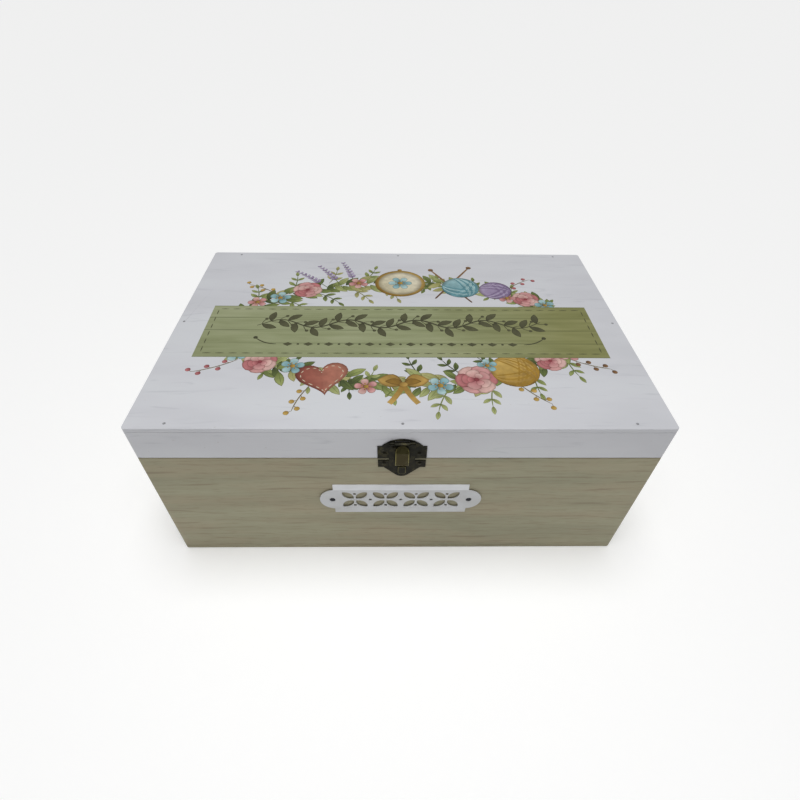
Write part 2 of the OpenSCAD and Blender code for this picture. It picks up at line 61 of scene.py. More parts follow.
lens = bpy.data.cameras.new("camera")
lens.sensor_width = SENSOR_WIDTH
lens.lens = SENSOR_WIDTH * FOCAL_PIXELS / PHOTO_SIDE
lens.shift_x = (PHOTO_SIDE / 2 - MIDDLE_PIXEL_X) / PHOTO_SIDE
lens.shift_y = (MIDDLE_PIXEL_Y - PHOTO_SIDE / 2) / PHOTO_SIDE
camera = bpy.data.objects.new("camera", lens)
bpy.context.collection.objects.link(camera)
camera.matrix_world = (
    Matrix.Translation(EYE)
    @ Matrix.Rotation(-LOOKING_RIGHT, 4, "Z")
    @ Matrix.Rotation(math.pi / 2 - LOOKING_DOWN, 4, "X")
    @ Matrix.Rotation(LEANING, 4, "Z")
)
bpy.context.scene.camera = camera

# Base boards: four boards of paulownia, a soft pale wood, glued and nailed into a box. The outside is
# washed with thin grey paint that lets the brown grain show, and the inside and the rim are left bare.
MM = 0.001
BOARD_EASE = 0.4 * MM
BOX_CORNER = 2 * MM
CORNER_STEPS = 6
FLAT_AREA = 170
WASH_GREY = "9E9A7F"
WASH_PALE = "AAA78B"
WASH_SHADE = "929076"
WASH_WARM = "A69A7F"
WASH_LINE = "715F46"
BARE_WOOD = "D6C49F"
BARE_PALE = "E2D4B5"
BARE_SHADE = "C3AC82"
BARE_WARM = "D2B98F"
BARE_LINE = "A78C62"
WASH_LINE_SHARE = 0.55
WASH_ROUGHNESS = 0.62
BARE_LINE_SHARE = 0.6
BARE_ROUGHNESS = 0.7
ACROSS = 0.0
LENGTHWISE = math.pi / 2
GRAINS = (("crosswise", ACROSS), ("lengthwise", LENGTHWISE))
RELIEF = 0.2 * MM
# Each kind of growth line: its pitch, half its width, how far it wanders, how long it runs, its strength
GROWTH_LINES = ((5.6, 0.9, 14, 24, 1.0), (2.9, 0.65, 9, 14, 0.6))


def linear(code):
    """The linear colour of an sRGB hex value."""
    channels = [int(code[i:i + 2], 16) / 255 for i in (0, 2, 4)]
    curve = [c / 12.92 if c <= 0.04045 else ((c + 0.055) / 1.055) ** 2.4 for c in channels]
    return (*curve, 1.0)


def add_node(tree, kind, settings=None, links=None):
    """Adds a node, with settings of its own or of its inputs by name or number, and links into its inputs."""
    node = tree.nodes.new(kind)
    for name, value in (settings or {}).items():
        if isinstance(name, int) or name in node.inputs:
            node.inputs[name].default_value = value
        else:
            setattr(node, name, value)
    for name, source in (links or {}).items():
        tree.links.new(source, node.inputs[name])
    return node


def new_material(name):
    """An empty node material, and its tree."""
    material = bpy.data.materials.new(name)
    material.use_nodes = True
    material.node_tree.nodes.clear()
    return material, material.node_tree


def finish_material(tree, settings, links):
    """Ends a material's tree in one principled shader."""
    shader = add_node(tree, "ShaderNodeBsdfPrincipled", settings, links)
    add_node(tree, "ShaderNodeOutputMaterial", links={"Surface": shader.outputs["BSDF"]})


def stretched_noise(tree, points, along, across, detail, warp=0.0):
    """Noise on points in metres whose patches are along by across millimetres."""
    per_metre = (1000 / along, 1000 / across, 1000 / across)
    scaled = add_node(tree, "ShaderNodeMapping", {"Scale": per_metre}, {"Vector": points})
    noise = add_node(
        tree,
        "ShaderNodeTexNoise",
        {"Scale": 1.0, "Detail": detail, "Roughness": 0.55, "Distortion": warp},
        {"Vector": scaled.outputs["Vector"]},
    )
    return noise.outputs["Fac"]


def thin_lines(tree, noise, level, width):
    """1 on the contour of a noise at a level, and 0 a width away from it."""
    away = add_node(tree, "ShaderNodeMath", {"operation": "SUBTRACT", 1: level}, {0: noise})
    distance = add_node(tree, "ShaderNodeMath", {"operation": "ABSOLUTE"}, {0: away.outputs[0]})
    line = add_node(
        tree,
        "ShaderNodeMapRange",
        {"From Min": 0.0, "From Max": width, "To Min": 1.0, "To Max": 0.0},
        {"Value": distance.outputs[0]},
    )
    return line.outputs["Result"]


def ramp(tree, value, stops):
    """Colours, as hex or grey values, that a value passes through at the given places."""
    node = add_node(tree, "ShaderNodeValToRGB", links={"Fac": value})
    elements = node.color_ramp.elements
    for spare in range(len(stops) - len(elements)):
        elements.new(0.5)
    for element, (place, colour) in zip(elements, stops):
        element.position = place
        element.color = linear(colour)
    return node.outputs["Color"]


def mixed(tree, first, second, share, blend="MIX"):
    """Two colours mixed; the sockets 6 and 7 of a mix node are its colours, and its output 2 is the mix."""
    node = add_node(tree, "ShaderNodeMix", {"data_type": "RGBA", "blend_type": blend})
    for place, source in ((0, share), (6, first), (7, second)):
        if isinstance(source, str):
            node.inputs[place].default_value = linear(source)
        elif isinstance(source, (int, float)):
            node.inputs[place].default_value = source
        else:
            tree.links.new(source, node.inputs[place])
    return node.outputs[2]


def wood(name, grain_turn, tones, line_tone, line_share, roughness):
    """Planed paulownia: soft bands with warm patches, broken growth lines about 5.5 mm apart with finer
    ones between them, short open pores, and fibres, all drawn out along the board."""
    material, tree = new_material(name)
    place = add_node(tree, "ShaderNodeTexCoord").outputs["Object"]
    turned = add_node(tree, "ShaderNodeMapping", {"Rotation": (0, 0, grain_turn)}, {"Vector": place})
    points = turned.outputs["Vector"]
    bands = stretched_noise(tree, points, 180, 14, 3)
    patches = stretched_noise(tree, points, 70, 15, 3)
    fibres = stretched_noise(tree, points, 24, 0.9, 5)
    pores = stretched_noise(tree, points, 9, 0.5, 1)
    shade, middle, pale, warm = tones
    soft = ramp(tree, bands, ((0.36, shade), (0.5, middle), (0.66, pale)))
    fine = ramp(tree, fibres, ((0.3, shade), (0.5, middle), (0.7, pale)))
    streaked = mixed(tree, soft, fine, 0.3)
    warmth = add_node(
        tree, "ShaderNodeMapRange", {"From Min": 0.45, "From Max": 0.65, "To Max": 0.6}, {"Value": patches}
    )
    ground = mixed(tree, streaked, warm, warmth.outputs["Result"])
    depth = add_node(
        tree, "ShaderNodeVectorMath", {"operation": "DOT_PRODUCT", 1: (0.0, 0.6, 0.8)}, {0: points}
    )
    strengths = []
    for pitch, width, wander, length, share in GROWTH_LINES:
        warp = stretched_noise(tree, points, 4 * length, 26, 2)
        moved = add_node(
            tree,
            "ShaderNodeMath",
            {"operation": "MULTIPLY_ADD", 1: wander * MM},
            {0: warp, 2: depth.outputs["Value"]},
        )
        nearest = add_node(
            tree, "ShaderNodeMath", {"operation": "PINGPONG", 1: pitch / 2 * MM}, {0: moved.outputs[0]}
        )
        line = add_node(
            tree,
            "ShaderNodeMapRange",
            {"From Min": 0.0, "From Max": width * MM, "To Min": share, "To Max": 0.0},
            {"Value": nearest.outputs[0]},
        )
        breaks = stretched_noise(tree, points, length, 0.55 * pitch, 2)
        broken = add_node(
            tree, "ShaderNodeMapRange", {"From Min": 0.45, "From Max": 0.65}, {"Value": breaks}
        )
        strength = add_node(
            tree,
            "ShaderNodeMath",
            {"operation": "MULTIPLY"},
            {0: line.outputs["Result"], 1: broken.outputs["Result"]},
        )
        strengths.append(strength.outputs[0])
    open_pores = add_node(
        tree,
        "ShaderNodeMapRange",
        {"From Min": 0.62, "From Max": 0.74, "To Max": 0.9},
        {"Value": pores},
    )
    growth = add_node(tree, "ShaderNodeMath", {"operation": "MAXIMUM"}, {0: strengths[0], 1: strengths[1]})
    lines = add_node(
        tree,
        "ShaderNodeMath",
        {"operation": "MAXIMUM"},
        {0: growth.outputs[0], 1: open_pores.outputs["Result"]},
    )
    share = add_node(
        tree, "ShaderNodeMath", {"operation": "MULTIPLY", 1: line_share}, {0: lines.outputs[0]}
    )
    colour = mixed(tree, ground, line_tone, share.outputs[0])
    height = add_node(
        tree, "ShaderNodeMath", {"operation": "SUBTRACT"}, {0: fibres, 1: lines.outputs[0]}
    )
    bump = add_node(
        tree,
        "ShaderNodeBump",
        {"Strength": 0.12, "Distance": RELIEF},
        {"Height": height.outputs[0]},
    )
    finish_material(
        tree, {"Roughness": roughness}, {"Base Color": colour, "Normal": bump.outputs["Normal"]}
    )
    return material


def box_edges(bm, low, high, tell):
    """The edges of a bmesh whose middle passes a test of its place within a box, from 0 to 1 each way."""
    size = high - low
    chosen = []
    for edge in bm.edges:
        middle = (edge.verts[0].co + edge.verts[1].co) / 2 - low
        if tell(*(middle[i] / size[i] for i in range(3))):
            chosen.append(edge)
    return chosen


def bevel(bm, edges, width, steps, clamp=True):
    """Rounds edges to a width in so many steps."""
    return bmesh.ops.bevel(
        bm,
        geom=edges,
        offset=width,
        offset_type="OFFSET",
        segments=steps,
        affect="EDGES",
        profile=0.5,
        material=-1,
        clamp_overlap=clamp,
    )


def add_piece(name, bm, materials, body, slot, *replaced):
    """A finished mesh becomes a piece that rides a body, wears the given materials and stands for CAD nodes;
    slot is not used.
    """
    mesh = bpy.data.meshes.new(name)
    bm.to_mesh(mesh)
    bm.free()
    for material in materials:
        mesh.materials.append(material)
    piece = bpy.data.objects.new(name, mesh)
    bpy.context.collection.objects.link(piece)
    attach(piece, body)
    if replaced:
        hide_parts(*replaced)
    return piece


def shade(piece, widest):
    """Shades a piece smooth over its eased edges, while faces over so many square millimetres stay flat."""
    piece.data.set_sharp_from_angle(angle=math.radians(30))
    for face in piece.data.polygons:
        face.use_smooth = face.area < widest * MM * MM
    return piece


def board(node, materials, body, slot, round_corners=None, inner_face=None, ease=BOARD_EASE):
    """A sawn board in the place of a CAD node: its box, with the box's upright corners rounded where it
    has them and every arris eased with sandpaper. Faces that look along inner_face are left bare."""
    low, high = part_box(node)
    bm = bmesh.new()
    bmesh.ops.create_cube(bm, size=1)
    bmesh.ops.scale(bm, vec=high - low, verts=bm.verts)
    bmesh.ops.translate(bm, vec=(low + high) / 2, verts=bm.verts)
    if round_corners:
        bevel(bm, box_edges(bm, low, high, round_corners), BOX_CORNER, CORNER_STEPS)
    sharp = [edge for edge in bm.edges if edge.calc_face_angle(0) > math.radians(40)]
    bevel(bm, sharp, ease, 2)
    for face in bm.faces:
        if inner_face and face.normal.dot(Vector(inner_face)) > 0.7:
            face.material_index = 1
    return shade(add_piece(f"{node}_wood", bm, materials, body, slot, node), FLAT_AREA)


WASH_TONES = (WASH_SHADE, WASH_GREY, WASH_PALE, WASH_WARM)
BARE_TONES = (BARE_SHADE, BARE_WOOD, BARE_PALE, BARE_WARM)
washed = {
    turn: wood(
        f"grey_washed_paulownia_{name}", turn, WASH_TONES, WASH_LINE, WASH_LINE_SHARE, WASH_ROUGHNESS
    )
    for name, turn in GRAINS
}
bare = {
    turn: wood(
        f"planed_bare_paulownia_{name}", turn, BARE_TONES, BARE_LINE, BARE_LINE_SHARE, BARE_ROUGHNESS
    )
    for name, turn in GRAINS
}


def front_corners(x, y, z):
    """The two upright outer edges of a board across the front."""
    return y < 0.1 and 0.4 < z < 0.6


def back_corners(x, y, z):
    """The two upright outer edges of a board across the back."""
    return y > 0.9 and 0.4 < z < 0.6


board("base_front_board", [washed[ACROSS], bare[ACROSS]], "base", "washed_wood", front_corners, (0, 1, 0))
board("base_back_board", [washed[ACROSS], bare[ACROSS]], "base", "washed_wood", back_corners, (0, -1, 0))
board("base_left_board", [washed[LENGTHWISE], bare[LENGTHWISE]], "base", "washed_wood", None, (1, 0, 0))
board("base_right_board", [washed[LENGTHWISE], bare[LENGTHWISE]], "base", "washed_wood", None, (-1, 0, 0))

# Floor and inside of the base: a thin floor panel nailed up into the boards, a partition glued across it,
# and two glued strips that the tray slides on. All of it is bare planed wood.
def merged_copy(node):
    """A copy of a CAD node's mesh with its loose triangles joined and its flat faces made whole."""
    bm = bmesh.new()
    bm.from_mesh(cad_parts[node].data)
    bmesh.ops.remove_doubles(bm, verts=bm.verts, dist=0.002 * MM)
    bmesh.ops.dissolve_limit(bm, angle_limit=math.radians(1), verts=bm.verts, edges=bm.edges)
    return bm


def nailed_panel(node, materials, body, slot, ease, top_cut=0.0):
    """A thin panel in the shape of its CAD node, with its countersunk nail holes. Its outer arrises are
    eased, and where it has a second material its upper face wears it."""
    low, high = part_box(node)
    bm = merged_copy(node)
    for vert in bm.verts:
        if vert.co.z > high.z - 0.01 * MM:
            vert.co.z -= top_cut
    outer = []
    for edge in bm.edges:
        middle = (edge.verts[0].co + edge.verts[1].co) / 2
        inset = min(middle.x - low.x, high.x - middle.x, middle.y - low.y, high.y - middle.y)
        if inset < 1 * MM and edge.is_manifold and edge.calc_face_angle(0) > math.radians(40):
            outer.append(edge)
    bevel(bm, outer, ease, 2)
    for face in bm.faces:
        if len(materials) > 1 and face.normal.z > 0.7:
            face.material_index = 1
    return shade(add_piece(f"{node}_wood", bm, materials, body, slot, node), FLAT_AREA)


nailed_panel("base_floor_panel", [washed[ACROSS], bare[ACROSS]], "base", "washed_wood", BOARD_EASE)
board("base_partition", [bare[LENGTHWISE]], "base", "bare_wood")
board("tray_runner_front", [bare[ACROSS]], "base", "bare_wood")
board("tray_runner_back", [bare[ACROSS]], "base", "bare_wood")

# Tray: thin bare boards glued on a floor, with two crossing dividers that are halved into each other.
# A round finger scoop is sawn in each end board, and all edges are sanded.
TRAY_EASE = 0.5 * MM
FLAT_SHEET_AREA = 12


def eased_copy(node, materials, body, slot, ease, pick_material=None, rubbed_ease=0.0):
    """A piece in the shape of a CAD node with its sharp edges eased. pick_material picks a material by a
    place and by whether an edge lies there, for wear and for a painted highlight or sheen; the edges that get
    the third one are rubbed, and are eased more."""
    bm = merged_copy(node)
    sharp = [
        edge for edge in bm.edges if edge.is_manifold and edge.calc_face_angle(0) > math.radians(35)
    ]
    if pick_material:
        rubbed_edges = [
            edge for edge in sharp
            if pick_material((edge.verts[0].co + edge.verts[1].co) / 2, True) == 2
        ]
        sharp = [edge for edge in sharp if edge not in rubbed_edges]
        for face in bevel(bm, rubbed_edges, rubbed_ease, 2, clamp=False)["faces"]:
            face.material_index = 2
        sharp = [edge for edge in sharp if edge.is_valid]
    bevel(bm, sharp, ease, 2)
    if pick_material:
        for face in bm.faces:
            if face.material_index == 0:
                face.material_index = pick_material(face.calc_center_median(), False)
    return shade(add_piece(f"{node}_eased", bm, materials, body, slot, node), FLAT_SHEET_AREA)


for node in ("tray_front_board", "tray_back_board", "tray_long_divider"):
    eased_copy(node, [bare[ACROSS]], "tray", "bare_wood", TRAY_EASE)
for node in ("tray_left_board", "tray_right_board", "tray_cross_divider"):
    eased_copy(node, [bare[LENGTHWISE]], "tray", "bare_wood", TRAY_EASE)
board("tray_floor", [bare[ACROSS]], "tray", "bare_wood")

# Lid: four rails under a thin top panel, nailed down and sprayed with several coats of matt white paint.
# The paint fills most of the grain, so that only a few faint lines and flecks show, and the joint
# between panel and rails stays as a hairline. The hollow of the lid is painted too.
LID_EASE = 0.25 * MM
PRINT_DEPTH = 0.12 * MM
PAINT = "CDCED3"
PAINT_PALE = "D0D2D6"
PAINT_SHADE = "C9CACF"
PAINT_LINE = "B0B2B8"
PAINT_FLECK = "A39E94"


def painted_wood(name, grain_turn):
    """Sprayed matt paint on planed wood: even, a little cool, with grain that telegraphs through."""
    material, tree = new_material(name)
    place = add_node(tree, "ShaderNodeTexCoord").outputs["Object"]
    turned = add_node(tree, "ShaderNodeMapping", {"Rotation": (0, 0, grain_turn)}, {"Vector": place})
    points = turned.outputs["Vector"]
    clouds = stretched_noise(tree, points, 90, 30, 3)
    growth = stretched_noise(tree, points, 90, 14, 2, 0.2)
    breaks = stretched_noise(tree, points, 30, 3, 2)
    fibres = stretched_noise(tree, points, 30, 1.0, 3)
    flecks = stretched_noise(tree, points, 3.5, 1.4, 1)
    ground = ramp(tree, clouds, ((0.35, PAINT_SHADE), (0.5, PAINT), (0.65, PAINT_PALE)))
    lines = thin_lines(tree, growth, 0.5, 0.03)
    broken = add_node(tree, "ShaderNodeMapRange", {"From Min": 0.5, "From Max": 0.66}, {"Value": breaks})
    strength = add_node(
        tree, "ShaderNodeMath", {"operation": "MULTIPLY"}, {0: lines, 1: broken.outputs["Result"]}
    )
    share = add_node(
        tree, "ShaderNodeMath", {"operation": "MULTIPLY", 1: 0.4}, {0: strength.outputs[0]}
    )
    lined = mixed(tree, ground, PAINT_LINE, share.outputs[0])
    fleck = add_node(
        tree,
        "ShaderNodeMapRange",
        {"From Min": 0.77, "From Max": 0.84, "To Max": 0.5},
        {"Value": flecks},
    )
    colour = mixed(tree, lined, PAINT_FLECK, fleck.outputs["Result"])
    height = add_node(
        tree, "ShaderNodeMath", {"operation": "SUBTRACT"}, {0: fibres, 1: strength.outputs[0]}
    )
    bump = add_node(
        tree,
        "ShaderNodeBump",
        {"Strength": 0.07, "Distance": RELIEF},
        {"Height": height.outputs[0]},
    )
    finish_material(
        tree,
        {"Roughness": 0.5, "IOR": 1.45},
        {"Base Color": colour, "Normal": bump.outputs["Normal"]},
    )
    return material


painted = {
    turn: painted_wood(f"sprayed_white_paint_{name}", turn)
    for name, turn in GRAINS
}
board("lid_front_rail", [painted[ACROSS]], "lid", "white_painted_wood", front_corners, ease=LID_EASE)
board("lid_back_rail", [painted[ACROSS]], "lid", "white_painted_wood", back_corners, ease=LID_EASE)
board("lid_left_rail", [painted[LENGTHWISE]], "lid", "white_painted_wood", ease=LID_EASE)
board("lid_right_rail", [painted[LENGTHWISE]], "lid", "white_painted_wood", ease=LID_EASE)
nailed_panel("lid_top_panel", [painted[ACROSS]], "lid", "white_painted_wood", LID_EASE, PRINT_DEPTH)

# Panel nails: small steel nails hold the panels, set just below the face. Those in the lid are painted
# over thinly, so that each shows as a grey dimple, and all keep their CAD meshes.
NAIL_STEEL = "6D6C6A"
NAIL_DULL = "4C4A47"
NAIL_PAINTED = "9FA0A3"
NAIL_CHIPPED = "7C7C7E"


def dull_steel(name, dark, light):
    """Drawn steel that has dulled unevenly."""
    material, tree = new_material(name)
    place = add_node(tree, "ShaderNodeTexCoord").outputs["Object"]
    spots = stretched_noise(tree, place, 1.2, 1.2, 3)
    colour = ramp(tree, spots, ((0.35, dark), (0.65, light)))
    finish_material(tree, {"Metallic": 1.0, "Roughness": 0.5}, {"Base Color": colour})
    return material


def dress_nodes(material, *nodes):
    """CAD nodes that keep their own mesh get a material in all their slots."""
    for node in nodes:
        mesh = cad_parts[node].data
        mesh.materials.clear()
        mesh.materials.append(material)


dress_nodes(dull_steel("dulled_nail_steel", NAIL_DULL, NAIL_STEEL), "base_floor_nails")
material, tree = new_material("painted_over_nail_heads")
place = add_node(tree, "ShaderNodeTexCoord").outputs["Object"]
chips = stretched_noise(tree, place, 0.7, 0.7, 2)
paint = ramp(tree, chips, ((0.4, NAIL_CHIPPED), (0.6, NAIL_PAINTED)))
finish_material(tree, {"Roughness": 0.5}, {"Base Color": paint})
dress_nodes(material, "lid_panel_nails")

# Lid print, the band: a sage-green strip with the look of four painted planks, printed on the white paint.
# It is a thin flat film of ink, a little darker to the right and streaked like brushed watercolour.
BAND_LEFT = -130 * MM
BAND_RIGHT = 132 * MM
BAND_FRONT = -38.5 * MM
BAND_BACK = 19.5 * MM
BAND_PLANKS = 4
INK_STEP = 0.004 * MM
SAGE = "8F9570"
SAGE_PALE = "9FA382"
SAGE_DEEP = "7D825D"
SAGE_LINE = "62684A"
SAGE_RIGHT = "E6DFBE"
print_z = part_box("lid_top_panel")[1].z - PRINT_DEPTH


def sage_print(name):
    """Printed ink with plank lines every quarter of the band and long brush streaks."""
    material, tree = new_material(name)
    place = add_node(tree, "ShaderNodeTexCoord").outputs["Object"]
    streaks = stretched_noise(tree, place, 70, 4.5, 4, 0.4)
    washes = stretched_noise(tree, place, 60, 18, 3)
    ground = ramp(tree, streaks, ((0.3, SAGE_DEEP), (0.5, SAGE), (0.7, SAGE_PALE)))
    wash = ramp(tree, washes, ((0.35, SAGE_DEEP), (0.5, SAGE), (0.68, SAGE_PALE)))
    brushed = mixed(tree, ground, wash, 0.5)
    parts = add_node(tree, "ShaderNodeSeparateXYZ", links={"Vector": place})
    from_front = add_node(
        tree, "ShaderNodeMath", {"operation": "SUBTRACT", 1: BAND_FRONT}, {0: parts.outputs["Y"]}
    )
    planks = add_node(
        tree,
        "ShaderNodeMath",
        {"operation": "PINGPONG", 1: (BAND_BACK - BAND_FRONT) / BAND_PLANKS / 2},
        {0: from_front.outputs[0]},
    )
    seam = add_node(
        tree,
        "ShaderNodeMapRange",
        {"From Min": 0.2 * MM, "From Max": 0.7 * MM, "To Min": 1.0, "To Max": 0.0},
        {"Value": planks.outputs[0]},
    )
    broken = add_node(
        tree,
        "ShaderNodeMapRange",
        {"From Min": 0.4, "From Max": 0.6, "To Min": 0.1, "To Max": 0.7},
        {"Value": washes},
    )
    share = add_node(
        tree,
        "ShaderNodeMath",
        {"operation": "MULTIPLY"},
        {0: seam.outputs["Result"], 1: broken.outputs["Result"]},
    )
    lined = mixed(tree, brushed, SAGE_LINE, share.outputs[0])
    to_right = add_node(
        tree,
        "ShaderNodeMapRange",
        {"From Min": 10 * MM, "From Max": 110 * MM},
        {"Value": parts.outputs["X"]},
    )
    colour = mixed(tree, lined, SAGE_RIGHT, to_right.outputs["Result"], "MULTIPLY")
    finish_material(tree, {"Roughness": 0.5, "IOR": 1.45}, {"Base Color": colour})
    return material


bm = bmesh.new()
bmesh.ops.create_grid(bm, x_segments=24, y_segments=6, size=0.5)
bmesh.ops.scale(bm, vec=(BAND_RIGHT - BAND_LEFT, BAND_BACK - BAND_FRONT, 1), verts=bm.verts)
bmesh.ops.translate(
    bm,
    vec=((BAND_LEFT + BAND_RIGHT) / 2, (BAND_FRONT + BAND_BACK) / 2, print_z + 20 * INK_STEP),
    verts=bm.verts,
)
add_piece("lid_print_band", bm, [sage_print("printed_sage_band")], "lid", "white_painted_wood")

# Lid print, the ornament: a stitched border, a leafy vine and a row of diamonds on the band, and around it
# a wreath of leaves, blossoms, berries and balls of yarn. All motifs are flat films of watercolour ink.
OLIVE = "4A4A33"
LEAF_INKS = (
    ("4E5B2E", "8A9755"), ("68763A", "A7B06E"), ("3E4927", "6C7B40"), ("7A8448", "BAC084"),
    ("85854A", "BDB980"),
)
ROSE_INKS = (("8E3F46", "C98283"), ("A4575E", "DCA9A5"), ("B27372", "E6C2B9"))
TEAL_INKS = (("5B8D97", "9FC3C7"), ("7AA5AB", "BCD6D6"))
GOLD_INKS = (("A37E2C", "D0B064"), ("8C6A28", "C39F55"))
BROWN_INK = ("5E4028", "94704A")
LILAC_INKS = (("7F6C8F", "B2A3C0"), ("8E7DA0", "C4B8CF"))
CREAM_INK = ("CFC5A4", "E2DBC4")
HEART_INK = ("7A5A22", "C7A24A")
PATCH_INK = ("8E4A3E", "B87A66")
TWIG_INK = ("6A5A3C", "7C7148")
STALK_INK = ("5E6B3C", "7F8C56")
OLIVE_INK = (OLIVE, OLIVE)
OLIVE_LEAF_INK = (OLIVE, "5C5C40")

sheet = bmesh.new()
prints = itertools.count()
ink_layer = sheet.verts.layers.float_color.new("ink")
rim_layer = sheet.verts.layers.float.new("rim")


def between(inks, share):
    """The linear colour part of the way from the first of two inks to the second."""
    first, second = (linear(code) for code in inks)
    return [a + (b - a) * share for a, b in zip(first, second)]


def print_height(level):
    """The height of the next print. Prints of one level lie a hair apart, so that no two share a plane."""
    return print_z + (level + next(prints) % 16 / 32) * INK_STEP


def stamp(form, inks, at, turn=0.0, level=0.0, points=14):
    """Prints a disc that form shapes, in millimetres, with the first ink at its root and the second at
    its tip. rim keeps how near a point is to the motif's outline."""
    cosine = math.cos(turn)
    sine = math.sin(turn)
    height = print_height(level)
    disc = bmesh.ops.create_circle(sheet, cap_ends=True, cap_tris=True, segments=points, radius=1)
    for vert in disc["verts"]:
        across, up = form(vert.co.x, vert.co.y)
        vert[rim_layer] = min(1.0, vert.co.length)
        vert[ink_layer] = between(inks, (vert.co.x + 1) / 2)
        vert.co = (
            (at[0] + across * cosine - up * sine) * MM,
            (at[1] + across * sine + up * cosine) * MM,
            height,
        )


def stroke(path, width, inks, level=0.0, steps=12, taper=0.6):
    """Prints a brush stroke along path(t), which gives millimetres for t from 0 to 1."""
    height = print_height(level)
    strip = bmesh.ops.create_grid(sheet, x_segments=steps, y_segments=1, size=1)
    for vert in strip["verts"]:
        t = (vert.co.x + 1) / 2
        here = Vector(path(t))
        ahead = Vector(path(min(1, t + 0.01))) - Vector(path(max(0, t - 0.01)))
        aside = Vector((-ahead.y, ahead.x)).normalized()
        half = width / 2 * (1 - taper * abs(2 * t - 1) ** 3)
        spot = here + aside * half * (1 if vert.co.y > 0 else -1)
        vert[rim_layer] = 0.5
        vert[ink_layer] = between(inks, t)
        vert.co = (spot.x * MM, spot.y * MM, height)


def arc(start, turn, length, curl):
    """A path from start that sets off at an angle and bends by curl radians over its length."""

    def path(t):
        angle = turn + curl * t / 2
        return (start[0] + length * t * math.cos(angle), start[1] + length * t * math.sin(angle))

    return path


def leaf_form(length, width, bend=0.0):
    """A pointed leaf from its stalk outwards."""
    return lambda x, y: (
        length * (x + 1) / 2,
        width / 2 * y * math.sqrt(max(0.0, 1 - x * x)) + bend * (1 - x * x),
    )


def petal_form(start, length, width):
    """A petal that starts a little way out and is broad at its tip."""
    return lambda x, y: (start + length * (x + 1) / 2, width / 2 * y * (0.75 + 0.25 * x))


def round_form(radius, squash=1.0):
    """A round or oval spot."""
    return lambda x, y: (radius * x, radius * squash * y)


def leaf(at, turn, length, inks, level, bend=0.0):
    """A leaf with its midrib."""
    stamp(leaf_form(length, 0.42 * length, bend), inks, at, turn, level, 16)
    rib = arc(at, turn, 0.85 * length, 0.0)
    stroke(rib, 0.35, (inks[0], inks[0]), level + 0.25, 4)


def sprig(at, turn, length, curl, pairs, leaf_length, inks, level):
    """A stem with pairs of leaves and one at its tip."""
    stem = arc(at, turn, length, curl)
    stroke(stem, 0.8, (inks[0], inks[0]), level)
    for pair in range(pairs):
        t = (pair + 0.8) / (pairs + 0.6)
        size = leaf_length * (1.1 - 0.45 * t)
        for side in (-1, 1):
            leaf(stem(t), turn + curl * t + side * 0.85, size, inks, level + 1 + pair % 2, side * 0.04 * size)
    leaf(stem(1), turn + curl, 0.8 * leaf_length, inks, level + 2)


def blossom(at, radius, petals, inks, level, turn=0.0):
    """An open flower: broad petals, a gold heart and a ring of stamen dots."""
    for petal in range(petals):
        angle = turn + 2 * math.pi * petal / petals
        width = 1.426 * math.pi * radius / petals
        form = petal_form(0.12 * radius, 0.88 * radius, width)
        stamp(form, inks[petal % len(inks)], at, angle, level + 1.5 * (petal % 3), 12)
    stamp(round_form(0.24 * radius), HEART_INK, at, 0, level + 6, 10)
    for dot in range(7):
        angle = 2 * math.pi * dot / 7
        spot = (at[0] + 0.38 * radius * math.cos(angle), at[1] + 0.38 * radius * math.sin(angle))
        stamp(round_form(0.06 * radius + 0.15), HEART_INK, spot, 0, level + 6, 6)


def rose(at, radius, inks, level, turn=0.0):
    """A full rose: three rings of petals that get smaller, paler and closer to the middle."""
    for ring, (share, petals) in enumerate(((1.0, 6), (0.7, 5), (0.42, 3))):
        for petal in range(petals):
            angle = turn + 0.5 * ring + 2 * math.pi * petal / petals
            form = petal_form(0.05 * radius, 0.95 * share * radius, 1.25 * share * radius)
            stamp(form, inks[(petal + ring) % len(inks)], at, angle, level + 2 * ring + 0.6 * (petal % 2), 12)
    stamp(round_form(0.13 * radius), (inks[0][0], inks[0][0]), at, 0, level + 7, 8)


def berries(at, turn, length, curl, count, inks, level):
    """A curved twig with round berries on short stalks."""
    stem = arc(at, turn, length, curl)
    stroke(stem, 0.7, TWIG_INK, level)
    for berry in range(count):
        t = (berry + 1) / count
        side = 1 if berry % 2 else -1
        stalk = arc(stem(t), turn + curl * t + side * 0.9, 3.2, 0)
        stroke(stalk, 0.5, TWIG_INK, level, 2)
        stamp(round_form(1.7), inks, stalk(1), turn, level + 1, 10)


def lavender(at, turn, length, inks, level):
    """A stem whose upper half carries small oval florets."""
    stem = arc(at, turn, length, 0.25)
    stroke(stem, 0.7, STALK_INK, level)
    for row in range(7):
        t = 0.42 + 0.58 * row / 6
        for side in (-1, 1):
            form = leaf_form(5.2 - 0.35 * row, 2.9 - 0.2 * row)
            stamp(form, inks[row % len(inks)], stem(t), turn + side * 0.55, level + 1 + row % 2, 8)


def yarn_ball(at, radius, inks, level, turn=0.0):
    """A ball of yarn: a shaded disc wound with three bundles of curved threads."""
    stamp(round_form(radius), inks[0], at, turn + math.pi / 3, level, 30)
    for bundle, spin in enumerate((0.5, 2.5, 1.5)):
        for thread in range(5):
            bulge = (0.18 + 0.17 * thread) * (1 if bundle % 2 else -1)
            angle = turn + spin

            def path(t, bulge=bulge, angle=angle):
                along = -math.cos(math.pi * t) * 0.97 * radius
                aside = math.sin(math.pi * t) * bulge * 0.97 * radius
                return (
                    at[0] + along * math.cos(angle) - aside * math.sin(angle),
                    at[1] + along * math.sin(angle) + aside * math.cos(angle),
                )

            tone = inks[1] if thread % 2 else (inks[0][0], inks[0][0])
            stroke(path, 0.075 * radius, tone, level + 1 + bundle, 10)


